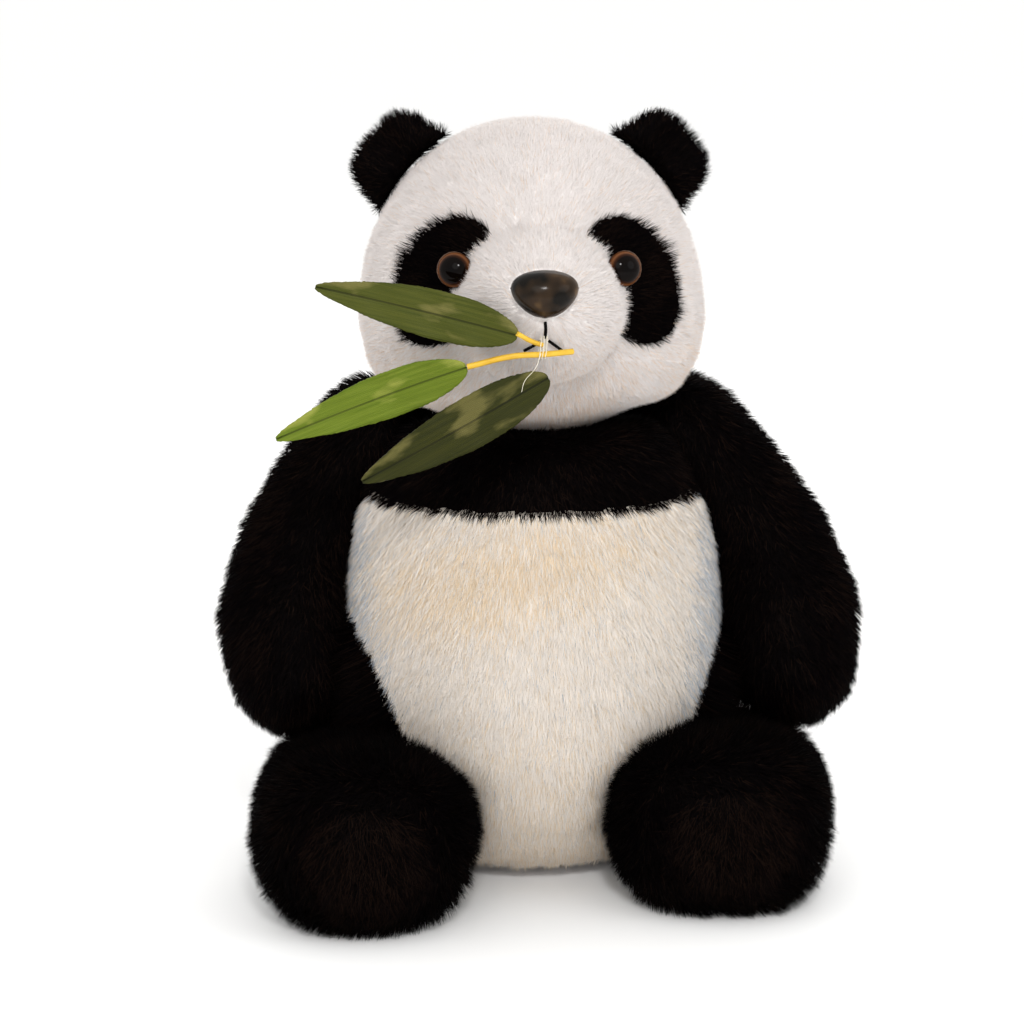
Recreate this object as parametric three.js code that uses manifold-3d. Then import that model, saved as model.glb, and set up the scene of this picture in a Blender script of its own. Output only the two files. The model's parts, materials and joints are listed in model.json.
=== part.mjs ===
// A sitting plush panda that holds a sprig of bamboo in its mouth, in millimetres.
// +Z is up, the face looks along -Y and the seat rests on z = 0. Left is the panda's own left, +X.

import * as THREE from 'three';
import { mergeVertices } from 'three/addons/utils/BufferGeometryUtils.js';
import Module from 'manifold-3d';

const wasm = await Module();
wasm.setup();

// ---- Driving dimensions ----

const GAP = 0.35; // between two pieces that touch
const SKIN = 1.6; // a fabric panel with the roots of its pile
const LOOSE = 0.9; // between a skin and the fibre fill inside it
const FILL_DEPTH = SKIN + LOOSE;

const HEAD_CENTRE = new THREE.Vector3(0, -6, 236);
const HEAD_HALF = new THREE.Vector3(62.5, 57, 60.5);
const CHEEK_DIRECTION = new THREE.Vector3(0.79, -0.33, -0.52).normalize();
const CHEEK_SWELL = 0.19;
const CHEEK_SPREAD = 0.58;
const MUZZLE_CENTRE = new THREE.Vector3(0, -50, -5);
const MUZZLE_HALF = new THREE.Vector3(31.5, 33, 29);

const NECK_BALL = 62.2; // the underside of the head is a ball, so that it can turn on the neck pad
const NECK_PAD_THICKNESS = 3.6;
const NECK_PAD_SPREAD = THREE.MathUtils.degToRad(25);
const NECK_HOLE = 20;
const HEAD_NOD = THREE.MathUtils.degToRad(10); // how far the head tips either way
const SOCKET_BALL = NECK_BALL + NECK_PAD_THICKNESS + 2 * GAP;
const SOCKET_ROOM = 1.5; // kept round the cheeks as the head turns and nods

const TORSO_OUTLINE = [
  [24, 0],
  [39, 3.5],
  [56, 14],
  [70, 34],
  [77, 62],
  [77, 96],
  [73, 130],
  [66, 156],
  [54, 176],
  [34, 190],
  [0, 196],
];
const TORSO_FRONT = 0.95; // how deep the torso is in front and behind, as a share of its width
const TORSO_BACK = 0.86;
const SEAT_SEAM = 9;
const SIDE_SEAM = 22;
const CHEST_SEAM = 152;
const TUMMY_OUTLINE = [
  [32, 0],
  [40, 40],
  [54, 66],
  [66, 94],
  [82, 122],
  [84, 160],
];
const TUMMY_SHIFT = 3.5; // the panel sits a little to the panda's left

const TAIL_CENTRE = new THREE.Vector3(0, 71, 42);
const TAIL_HALF = new THREE.Vector3(13, 13, 11);
const BAG_CENTRE = new THREE.Vector3(0, 2, 15);
const BAG_HALF = new THREE.Vector3(15, 34, 11);

const SHOULDER = new THREE.Vector3(60, 16, 168.5);
const ARM_REACH = [
  [0, 0, 0],
  [16, -3, -18],
  [30, -10, -42],
  [35.5, -22, -67],
  [33.5, -32, -83.5],
];
const ARM_RADII = [25, 24, 25, 27.8, 25.2];
const ARM_LENGTH = { left: 1.09, right: 1.045 }; // as shares of the reach
const ARM_SPLAY = { left: THREE.MathUtils.degToRad(6.5), right: THREE.MathUtils.degToRad(0.5) };
const SHOULDER_ROOM = 1.6; // round the ball of the shoulder, so that the arm can lift

const HIP = new THREE.Vector3(64, -12, 35);
const HIP_RADIUS = new THREE.Vector2(39, 23); // half its width and half its height
const HIP_SHIFT = { left: 8, right: 1 }; // how far outside its joint each thigh is stuffed
const FOOT_RADIUS = new THREE.Vector2(39.5, 35);
const LEG_SQUARE = { left: 0.1, right: 0.03 }; // how much fuller than round a leg is at its corners
const LEG_SPREAD = THREE.MathUtils.degToRad(10); // how far each leg swings out
const LEG_REACH = { left: [5, -60, -3.5], right: [4, -74, -3.5] };
const LEG_FAN = 1.7; // extra width of the leg's hollow, as a share of the swing of the foot
const SOLE_DEPTH = 21;

const EYE_BACK = 3; // from the head's surface to the flat back of the eye
const EYE_DIRECTION = new THREE.Vector3(0.52, -0.84, 0.14).normalize(); // from the head's centre
const EYE_FACING = new THREE.Vector3(0.3, -0.95, 0.12).normalize();
const EYE_RADIUS = 6.7;
const EYE_DOME = 4.9;
const EYE_STEM_RADIUS = 2.1;
const EYE_STEM_LENGTH = 12;
const WASHER_RADIUS = 6.4;
const WASHER_THICKNESS = 1.2;
const WASHER_SLACK = 2.3; // the flat washers stand off the curved skin behind them
const PATCH_THICKNESS = 1.4;
const PATCH_HALF = new THREE.Vector2(17, 27);
const PATCH_CENTRE = new THREE.Vector2(36, 3);
const PATCH_SLANT = THREE.MathUtils.degToRad(27);

const NOSE_HALF = new THREE.Vector3(12.4, 8.6, 9);
const NOSE_HEIGHT = 8.4; // above the centre of the muzzle
const NOSE_STEM_RADIUS = 3;
const NOSE_STEM_LENGTH = 13;
const NOSE_WASHER_RADIUS = 7;
const THREAD_RADIUS = 0.6;

const EAR_ANGLE = THREE.MathUtils.degToRad(49);
const EAR_HALF = new THREE.Vector3(18.2, 5.6, 14.6);
const EAR_FLARE = 0.42; // how much wider the ear gets towards its hem, on each side
const EAR_ROOT_RADIUS = 4.6;
const EAR_ROOT_CURVE = 1 / 150; // the hem follows the round of the head
const EAR_HEM_HALF = 24;
const EAR_DISH_HALF = new THREE.Vector3(12.5, 4.5, 11.6); // the hollow in the front of the ear
const EAR_DISH_CENTRE = new THREE.Vector3(0, -6.3, 10.5);

const SPRIG_ORIGIN = new THREE.Vector3(-4, -93, 218); // where the sprig turns in its tie
const LEAF_THICKNESS = 0.8;
const STEM_RADIUS = 1.1;
const TIE_RADIUS = 4.7;
const TIE_THICKNESS = 1;

// ---- Materials ----

function finish(hex, roughness, metalness = 0) {
  return { color: new THREE.Color(hex), roughness, metalness };
}

const WHITE_PLUSH = finish('#e4dcd8', 0.95);
const CREAM_PLUSH = finish('#e1d0be', 0.95);
const BLACK_PLUSH = finish('#120d0c', 0.9);
const FIBRE_FILL = finish('#f2f2ee', 1);
const PELLET_CLOTH = finish('#cfc8b8', 0.9);
const CLEAR_PLASTIC = finish('#f4efe8', 0.05);
const BROWN_PLASTIC = finish('#5a3216', 0.25);
const WASHER_PLASTIC = finish('#dedad2', 0.5);
const NOSE_PLASTIC = finish('#2a1d18', 0.35);
const BLACK_THREAD = finish('#0c0908', 0.8);
const DARK_LEAF = finish('#34461a', 0.5);
const BRIGHT_LEAF = finish('#649123', 0.5);
const STEM_PLASTIC = finish('#e6bb14', 0.45);
const TIE_THREAD = finish('#d9d2bc', 0.6);

// ---- Shapes and solids ----

// A closed body as a solid, for cuts and joins.
function solidOf(geometry) {
  const bare = geometry.clone();
  bare.deleteAttribute('normal');
  bare.deleteAttribute('uv');
  const merged = mergeVertices(bare, 1e-4);
  return new wasm.Manifold(new wasm.Mesh({
    numProp: 3,
    vertProperties: Float32Array.from(merged.attributes.position.array),
    triVerts: Uint32Array.from(merged.index.array),
  }));
}

function geometryOf(solid) {
  const mesh = solid.getMesh();
  const geometry = new THREE.BufferGeometry();
  geometry.setAttribute('position', new THREE.BufferAttribute(mesh.vertProperties, 3));
  geometry.setIndex(new THREE.BufferAttribute(mesh.triVerts, 1));
  return geometry;
}

// Moves each point of a smooth closed body along its normal: outwards if distance is positive.
function grown(geometry, distance) {
  const bare = geometry.clone();
  bare.deleteAttribute('normal');
  bare.deleteAttribute('uv');
  const merged = mergeVertices(bare, 1e-4);
  merged.computeVertexNormals();
  const { position, normal } = merged.attributes;
  for (let i = 0; i < position.count; i++) {
    const point = new THREE.Vector3().fromBufferAttribute(position, i);
    const outward = new THREE.Vector3().fromBufferAttribute(normal, i);
    point.addScaledVector(outward, distance);
    position.setXYZ(i, point.x, point.y, point.z);
  }
  return merged;
}

// Replaces each point of a body by place(point).
function reshaped(geometry, place) {
  const { position } = geometry.attributes;
  for (let i = 0; i < position.count; i++) {
    const point = place(new THREE.Vector3().fromBufferAttribute(position, i));
    position.setXYZ(i, point.x, point.y, point.z);
  }
  return geometry;
}

// A ball whose points are placed by their direction from its middle.
function blob(place, around = 24, upward = 14) {
  return reshaped(new THREE.SphereGeometry(1, around, upward).rotateX(Math.PI / 2), place);
}

function ball(radius) {
  return blob((direction) => direction.multiplyScalar(radius), 18, 12);
}

// A closed body turned about Z from [radius, height] points that start and end on the axis.
function turned(points, around = 20) {
  const outline = points.map(([radius, height]) => new THREE.Vector2(radius, height));
  return new THREE.LatheGeometry(outline, around).rotateX(Math.PI / 2);
}

// A stuffed limb along a path. Its ends are round and its radius runs through radii. widen is how
// much wider than that it is at its start and end, and square fills out the corners of its section.
function limb(reach, radii, options = {}) {
  const { widen = [1, 1], around = 12, steps = 4, capSteps = 3, blunt = 1, square = 0 } = options;
  const path = new THREE.CatmullRomCurve3(reach.map((point) => new THREE.Vector3(...point)));
  const sizes = new THREE.SplineCurve(radii.map((radius, i) => new THREE.Vector2(i, radius)));
  const capsule = new THREE.CapsuleGeometry(1, 1, capSteps, around, steps);
  return reshaped(capsule, (point) => {
    const along = THREE.MathUtils.clamp(point.y + 0.5, 0, 1);
    const beyond = point.y + 0.5 - along;
    const tangent = path.getTangent(along);
    const side = new THREE.Vector3(0, 0, 1).cross(tangent).normalize();
    if (Math.abs(tangent.z) > 0.7) {
      side.set(0, 1, 0).cross(tangent).normalize();
    }
    const third = side.clone().cross(tangent);
    const fuller = 1 + square * Math.sin(2 * Math.atan2(point.x, point.z)) ** 2;
    const radius = sizes.getPoint(along).y;
    const wider = THREE.MathUtils.lerp(widen[0], widen[1], along);
    return path.getPoint(along)
      .addScaledVector(tangent, beyond * radius * (beyond > 0 ? blunt : 1))
      .addScaledVector(side, point.x * radius * fuller * wider)
      .addScaledVector(third, point.z * radius * fuller);
  });
}

// A round bar along a curve.
function bar(curve, radius, steps = 8, sides = 8) {
  const section = new THREE.Shape().absarc(0, 0, radius, 0, 2 * Math.PI);
  return new THREE.ExtrudeGeometry(section, {
    steps,
    curveSegments: sides,
    extrudePath: curve,
    bevelEnabled: false,
  });
}

// Turns a body made along +Z so that its axis points along direction, and moves it to origin.
function aimed(geometry, direction, origin) {
  const turn = new THREE.Quaternion().setFromUnitVectors(new THREE.Vector3(0, 0, 1), direction);
  return geometry.applyQuaternion(turn).translate(origin.x, origin.y, origin.z);
}

// A block between two opposite corners, used to keep or cut one side of a solid.
function block(low, high) {
  const size = new THREE.Vector3(...high).sub(new THREE.Vector3(...low));
  const middle = new THREE.Vector3(...high).add(new THREE.Vector3(...low)).multiplyScalar(0.5);
  return solidOf(new THREE.BoxGeometry(...size).translate(...middle));
}

const FAR = 400;

function above(height) {
  return block([-FAR, -FAR, height], [FAR, FAR, FAR]);
}

function below(height) {
  return block([-FAR, -FAR, -FAR], [FAR, FAR, height]);
}

function behind(y) {
  return block([-FAR, y, -FAR], [FAR, FAR, FAR]);
}

function toTheLeft() {
  return block([0, -FAR, -FAR], [FAR, FAR, FAR]);
}

function inFront(y) {
  return block([-FAR, -FAR, -FAR], [FAR, y, FAR]);
}

function addPiece(parent, name, shape, look) {
  const geometry = shape.isBufferGeometry ? shape : geometryOf(shape);
  const piece = new THREE.Mesh(geometry, new THREE.MeshStandardMaterial(look));
  piece.name = name;
  parent.add(piece);
  return piece;
}

function mirroredX(vector, side) {
  return new THREE.Vector3(side * vector.x, vector.y, vector.z);
}

const SIDES = { left: 1, right: -1 };

// ---- Outer forms ----

function cheekSwell(direction) {
  const cheek = mirroredX(CHEEK_DIRECTION, direction.x < 0 ? -1 : 1);
  const away = direction.angleTo(cheek);
  return 1 + CHEEK_SWELL * Math.exp(-((away / CHEEK_SPREAD) ** 2));
}

// How far the head's surface is from its centre in a unit direction. Its underside is a true ball.
function headReach(unit) {
  const plump = cheekSwell(unit) / unit.clone().divide(HEAD_HALF).length();
  const underside = THREE.MathUtils.smoothstep(-unit.z, 0.66, 0.81);
  return THREE.MathUtils.lerp(plump, NECK_BALL, underside);
}

function headPoint(direction) {
  const unit = direction.clone().normalize();
  return unit.multiplyScalar(headReach(unit));
}

function headForm() {
  return blob(headPoint);
}

function muzzlePoint(direction) {
  return direction.clone().normalize().multiply(MUZZLE_HALF).add(MUZZLE_CENTRE);
}

function muzzleForm() {
  return blob(muzzlePoint, 20, 12);
}

function torsoForm() {
  const sides = new THREE.SplineCurve(TORSO_OUTLINE.map((point) => new THREE.Vector2(...point)));
  const points = sides.getPoints(13).map(({ x, y }) => [Math.max(x, 0), y]);
  const form = turned([[0, 0], ...points], 26);
  return reshaped(form, (point) => {
    point.y *= point.y < 0 ? TORSO_FRONT : TORSO_BACK;
    return point;
  });
}

function armForm(name) {
  const side = SIDES[name];
  const reach = ARM_REACH.map(([x, y, z]) => [side * x, y, z * ARM_LENGTH[name]]);
  return limb(reach, ARM_RADII).rotateY(-side * ARM_SPLAY[name]);
}

// A leg from the hip to the foot, its foot end wider by fan.
function legForm(name, fan = 0) {
  const side = SIDES[name];
  const [x, y, z] = LEG_REACH[name];
  const start = HIP_SHIFT[name];
  const reach = [[side * start, 0, 0], [side * (start + x) * 0.5, y * 0.5, z * 0.5], [side * x, y, z]];
  const radii = [HIP_RADIUS.y, (HIP_RADIUS.y + FOOT_RADIUS.y) / 2, FOOT_RADIUS.y];
  return limb(reach, radii, {
    widen: [HIP_RADIUS.x / HIP_RADIUS.y, (FOOT_RADIUS.x + fan) / FOOT_RADIUS.y],
    around: 14,
    steps: 2,
    capSteps: 3,
    blunt: 0.8,
    square: LEG_SQUARE[name],
  });
}

function placed(solid, vector) {
  return solid.translate([vector.x, vector.y, vector.z]);
}

// ---- Torso ----

// The furthest the head reaches at an angle from straight down, whichever way it turns and nods.
function sweptReach(angle) {
  let reach = 0;
  for (let turn = 0; turn < 24; turn++) {
    for (const nod of [-HEAD_NOD, 0, HEAD_NOD]) {
      const upright = new THREE.Spherical(1, Math.PI - angle - nod, (turn * Math.PI) / 12);
      const { x, y, z } = new THREE.Vector3().setFromSpherical(upright);
      reach = Math.max(reach, headReach(new THREE.Vector3(x, z, y)));
    }
  }
  return reach;
}

// The bowl in the top of the torso that the head turns in.
function headSocket(room) {
  const outline = [[0, -SOCKET_BALL - room]];
  for (let degrees = 9; degrees <= 81; degrees += 9) {
    const angle = THREE.MathUtils.degToRad(degrees);
    const ball = degrees < 30 ? SOCKET_BALL : Math.max(SOCKET_BALL, sweptReach(angle) + SOCKET_ROOM);
    outline.push([(ball + room) * Math.sin(angle), -(ball + room) * Math.cos(angle)]);
  }
  outline.push([0, outline.at(-1)[1]]);
  return turned(outline, 24);
}

// What the torso makes room for, with the room given: head, arms and legs press into the soft body.
function torsoHollows(room) {
  const hollows = [placed(solidOf(headSocket(room)), HEAD_CENTRE)];
  for (const [name, side] of Object.entries(SIDES)) {
    const shoulder = solidOf(ball(ARM_RADII[0] + SHOULDER_ROOM + room));
    const arm = solidOf(grown(armForm(name), room + GAP)).add(shoulder);
    hollows.push(placed(arm, mirroredX(SHOULDER, side)));
    const swing = LEG_SPREAD / 2;
    const fan = LEG_FAN * Math.hypot(...LEG_REACH[name]) * Math.sin(swing);
    const leg = grown(legForm(name, fan), room + 6.5 * GAP).rotateZ(side * swing);
    hollows.push(placed(solidOf(leg), mirroredX(HIP, side)));
  }
  return hollows;
}

function torsoLayer(depth) {
  const form = torsoForm();
  const solid = depth > 0 ? solidOf(grown(form, -depth)) : solidOf(form);
  return torsoHollows(depth).reduce((rest, hollow) => rest.subtract(hollow), solid);
}

// The tummy's outline seen from the front, wider by room, as a prism through the torso.
function tummyPrism(room) {
  const edge = new THREE.SplineCurve(TUMMY_OUTLINE.map(([x, z]) => new THREE.Vector2(x + room, z)));
  const left = edge.getPoints(10);
  const right = left.map(({ x, y }) => new THREE.Vector2(-x, y)).reverse();
  const outline = new THREE.Shape([...left, ...right]);
  const prism = new THREE.ExtrudeGeometry(outline, { depth: FAR, bevelEnabled: false });
  return solidOf(prism.rotateX(Math.PI / 2).translate(TUMMY_SHIFT, 100, 0));
}

function makeTorso() {
  const torso = new THREE.Group();
  const neckHole = placed(
    solidOf(turned([[0, 0], [NECK_HOLE, 0], [NECK_HOLE, 60], [0, 60]])),
    new THREE.Vector3(HEAD_CENTRE.x, HEAD_CENTRE.y, HEAD_CENTRE.z - SOCKET_BALL - 20),
  );
  const shell = torsoLayer(0).subtract(torsoLayer(SKIN)).subtract(neckHole);
  const half = GAP / 2;
  const yoke = shell.intersect(above(CHEST_SEAM + half));
  const waist = shell.intersect(below(CHEST_SEAM - half)).intersect(above(SEAT_SEAM + half));
  const front = waist.intersect(inFront(SIDE_SEAM - half));
  addPiece(torso, 'yoke_skin', yoke, BLACK_PLUSH);
  addPiece(torso, 'tummy_panel', front.intersect(tummyPrism(-half)), CREAM_PLUSH);
  const flanks = front.subtract(tummyPrism(half));
  addPiece(torso, 'flank_panel_left', flanks.intersect(toTheLeft()), BLACK_PLUSH);
  addPiece(torso, 'flank_panel_right', flanks.subtract(toTheLeft()), BLACK_PLUSH);
  addPiece(torso, 'back_panel', waist.intersect(behind(SIDE_SEAM + half)), WHITE_PLUSH);
  addPiece(torso, 'seat_panel', shell.intersect(below(SEAT_SEAM - half)), WHITE_PLUSH);

  const pelletBag = blob((unit) => unit.multiply(BAG_HALF).add(BAG_CENTRE), 16, 8);
  addPiece(torso, 'pellet_bag', pelletBag, PELLET_CLOTH);
  const opening = turned([[0, -10], [9, -10], [9, BAG_CENTRE.z], [0, BAG_CENTRE.z]], 12);
  const bagRoom = solidOf(grown(pelletBag, LOOSE)).add(solidOf(opening));
  addPiece(torso, 'torso_fill', torsoLayer(FILL_DEPTH).subtract(bagRoom), FIBRE_FILL);

  const tail = solidOf(blob((unit) => unit.multiply(TAIL_HALF).add(TAIL_CENTRE), 18, 10));
  addPiece(torso, 'tail', tail.subtract(solidOf(grown(torsoForm(), GAP))), WHITE_PLUSH);
  return torso;
}

// The pad of fill at the neck, a bowl that the head turns on.
function makeNeck() {
  const neck = new THREE.Group();
  neck.position.copy(HEAD_CENTRE);
  const low = NECK_BALL + NECK_PAD_THICKNESS + GAP;
  const high = NECK_BALL + GAP;
  const arcSteps = 4;
  const outline = [];
  for (let i = 0; i <= arcSteps; i++) {
    const angle = (NECK_PAD_SPREAD * i) / arcSteps;
    outline.push([low * Math.sin(angle), -low * Math.cos(angle)]);
  }
  for (let i = arcSteps; i >= 0; i--) {
    const angle = (NECK_PAD_SPREAD * i) / arcSteps;
    outline.push([high * Math.sin(angle), -high * Math.cos(angle)]);
  }
  addPiece(neck, 'neck_pad', turned(outline, 18), FIBRE_FILL);
  return neck;
}

// ---- Arms and legs ----

function makeArm(name) {
  const side = SIDES[name];
  const arm = new THREE.Group();
  arm.position.copy(mirroredX(SHOULDER, side));
  const form = armForm(name);
  const inward = new THREE.Vector3(-side, 0, 0);
  const seamHole = aimed(turned([[0, 0], [12, 0], [12, 40], [0, 40]]), inward, new THREE.Vector3());
  const skin = solidOf(form).subtract(solidOf(grown(form, -SKIN))).subtract(solidOf(seamHole));
  addPiece(arm, `arm_skin_${name}`, skin, BLACK_PLUSH);
  addPiece(arm, `arm_fill_${name}`, grown(form, -FILL_DEPTH), FIBRE_FILL);
  return arm;
}

function makeLeg(name) {
  const side = SIDES[name];
  const leg = new THREE.Group();
  leg.position.copy(mirroredX(HIP, side));
  const form = legForm(name);
  const floor = -HIP.z;
  const outer = solidOf(form).intersect(above(floor));
  const shell = outer.subtract(solidOf(grown(form, -SKIN)).intersect(above(floor + SKIN)));
  const toe = LEG_REACH[name][1];
  const soleLine = toe - SOLE_DEPTH;
  addPiece(leg, `leg_skin_${name}`, shell.intersect(behind(soleLine + GAP / 2)), BLACK_PLUSH);
  addPiece(leg, `foot_sole_${name}`, shell.intersect(inFront(soleLine - GAP / 2)), BLACK_PLUSH);
  const fill = solidOf(grown(form, -FILL_DEPTH)).intersect(above(floor + FILL_DEPTH));
  addPiece(leg, `leg_fill_${name}`, fill, FIBRE_FILL);
  return leg;
}

// ---- Head ----

function eyeFrame(side) {
  const origin = headPoint(mirroredX(EYE_DIRECTION, side));
  const direction = mirroredX(EYE_FACING, side);
  return { direction, origin: origin.addScaledVector(direction, EYE_BACK) };
}

function noseFrame() {
  const rise = Math.asin(NOSE_HEIGHT / MUZZLE_HALF.z);
  const tilt = rise * 0.9;
  return {
    origin: muzzlePoint(new THREE.Vector3(0, -Math.cos(rise), Math.sin(rise))),
    direction: new THREE.Vector3(0, -Math.cos(tilt), Math.sin(tilt)),
  };
}

// The hole for a push-in stem or its washer, from depth below the frame's origin outwards.
function holeFor({ direction, origin }, radius, depth) {
  const outward = 20;
  const outline = [[0, -depth], [radius, -depth], [radius, outward], [0, outward]];
  return solidOf(aimed(turned(outline, 14), direction, origin));
}

function washer({ direction, origin }, stemRadius, radius, depth) {
  const inner = stemRadius + GAP;
  const back = -depth - WASHER_THICKNESS;
  const ring = [[inner, back], [radius, back], [radius, -depth], [inner, -depth], [inner, back]];
  return aimed(turned(ring, 16), direction, origin);
}

function earFrame(side) {
  const direction = new THREE.Vector3(side * Math.sin(EAR_ANGLE), 0.06, Math.cos(EAR_ANGLE)).normalize();
  const root = headPoint(direction).addScaledVector(direction, EAR_ROOT_RADIUS + 0.5);
  return { direction, root };
}

function makeEar(name) {
  const side = SIDES[name];
  const { root } = earFrame(side);
  const ear = new THREE.Group();
  ear.position.copy(root);
  ear.rotation.y = side * EAR_ANGLE;
  const cup = solidOf(blob(({ x, y, z }) => {
    const square = 1 + 0.1 * Math.sin(2 * Math.atan2(Math.abs(x), Math.abs(z))) ** 2;
    const height = EAR_HALF.z * z * square * (z < 0 ? 3 : 1) + 1;
    const flare = Math.sign(x) * EAR_FLARE * Math.max(0, -height);
    return new THREE.Vector3(EAR_HALF.x * x * square + flare, EAR_HALF.y * y, height);
  }, 20, 28));
  const hemOutline = [[0, -EAR_HEM_HALF]];
  for (let x = -EAR_HEM_HALF; x <= EAR_HEM_HALF; x += EAR_HEM_HALF / 6) {
    hemOutline.push([EAR_ROOT_RADIUS + EAR_ROOT_CURVE * x * x, x]);
  }
  hemOutline.push([0, EAR_HEM_HALF]);
  const hem = solidOf(turned(hemOutline).rotateY(Math.PI / 2));
  const dish = solidOf(blob((unit) => unit.multiply(EAR_DISH_HALF).add(EAR_DISH_CENTRE), 18, 10));
  const whole = cup.intersect(above(0).add(hem));
  addPiece(ear, `ear_front_${name}`, whole.intersect(inFront(-GAP / 2)).subtract(dish), BLACK_PLUSH);
  addPiece(ear, `ear_back_${name}`, whole.intersect(behind(GAP / 2)), BLACK_PLUSH);
  return ear;
}

// The long black pile round an eye, a slanted oval that follows the head and stops at the muzzle.
function eyePatch(side) {
  const { x, y } = PATCH_HALF;
  const oval = new THREE.Shape().absellipse(0, 0, x, y, 0, 2 * Math.PI, false, side * PATCH_SLANT);
  const prism = new THREE.ExtrudeGeometry(oval, { depth: 70, curveSegments: 14, bevelEnabled: false });
  prism.rotateX(Math.PI / 2).translate(side * PATCH_CENTRE.x, 0, PATCH_CENTRE.y);
  const low = solidOf(grown(headForm(), GAP));
  const high = solidOf(grown(headForm(), GAP + PATCH_THICKNESS));
  return high.subtract(low)
    .intersect(solidOf(prism))
    .subtract(solidOf(grown(muzzleForm(), GAP)))
    .subtract(holeFor(eyeFrame(side), EYE_STEM_RADIUS + GAP, EYE_STEM_LENGTH));
}

function makeEye(parent, name) {
  const frame = eyeFrame(SIDES[name]);
  const arcSteps = 6;
  const base = 0.5;
  const dome = [[0, base]];
  for (let i = 0; i <= arcSteps; i++) {
    const angle = (Math.PI / 2) * (i / arcSteps);
    dome.push([EYE_RADIUS * Math.cos(angle), base + (EYE_DOME - base) * Math.sin(angle)]);
  }
  addPiece(parent, `eye_dome_${name}`, aimed(turned(dome, 18), frame.direction, frame.origin), CLEAR_PLASTIC);
  const stem = [
    [0, -EYE_STEM_LENGTH + 1],
    [EYE_STEM_RADIUS, -EYE_STEM_LENGTH + 1],
    [EYE_STEM_RADIUS, -0.9],
    [EYE_RADIUS - 0.8, -0.9],
    [EYE_RADIUS, 0],
    [0, 0],
  ];
  addPiece(parent, `eye_stem_${name}`, aimed(turned(stem, 18), frame.direction, frame.origin), BROWN_PLASTIC);
  const ring = washer(frame, EYE_STEM_RADIUS, WASHER_RADIUS, EYE_BACK + SKIN + WASHER_SLACK);
  addPiece(parent, `eye_washer_${name}`, ring, WASHER_PLASTIC);
}

function makeNose(parent) {
  const frame = noseFrame();
  const { origin, direction } = frame;
  const muzzleRoom = solidOf(grown(muzzleForm(), GAP));
  const button = blob(({ x, y, z }) => {
    const taper = 1 + 0.24 * z;
    const round = z < 0 ? 1.05 : 0.95;
    return new THREE.Vector3(NOSE_HALF.x * x * taper, NOSE_HALF.y * y, NOSE_HALF.z * z * round);
  }, 20, 12);
  button.rotateX(-Math.atan2(direction.z, -direction.y)).translate(origin.x, origin.y, origin.z);
  const [radius, back] = [NOSE_STEM_RADIUS, -NOSE_STEM_LENGTH];
  const stem = turned([[0, back], [radius, back], [radius, 2], [0, 2]], 16);
  const cap = solidOf(button).subtract(muzzleRoom).add(solidOf(aimed(stem, direction, origin)));
  addPiece(parent, 'nose', cap, NOSE_PLASTIC);
  const ring = washer(frame, radius, NOSE_WASHER_RADIUS, SKIN + WASHER_SLACK);
  addPiece(parent, 'nose_washer', ring, WASHER_PLASTIC);
}

// Mouth thread that follows the muzzle, through points given as [x, z] from the muzzle's centre.
function mouthStitch(points) {
  const route = points.map(([x, z]) => {
    const forward = -Math.sqrt(1 - (x / MUZZLE_HALF.x) ** 2 - (z / MUZZLE_HALF.z) ** 2);
    const direction = new THREE.Vector3(x / MUZZLE_HALF.x, forward, z / MUZZLE_HALF.z);
    const outward = direction.clone().divide(MUZZLE_HALF).normalize();
    return muzzlePoint(direction).addScaledVector(outward, THREAD_RADIUS + GAP);
  });
  return bar(new THREE.CatmullRomCurve3(route), THREAD_RADIUS, 6, 3);
}

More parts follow.
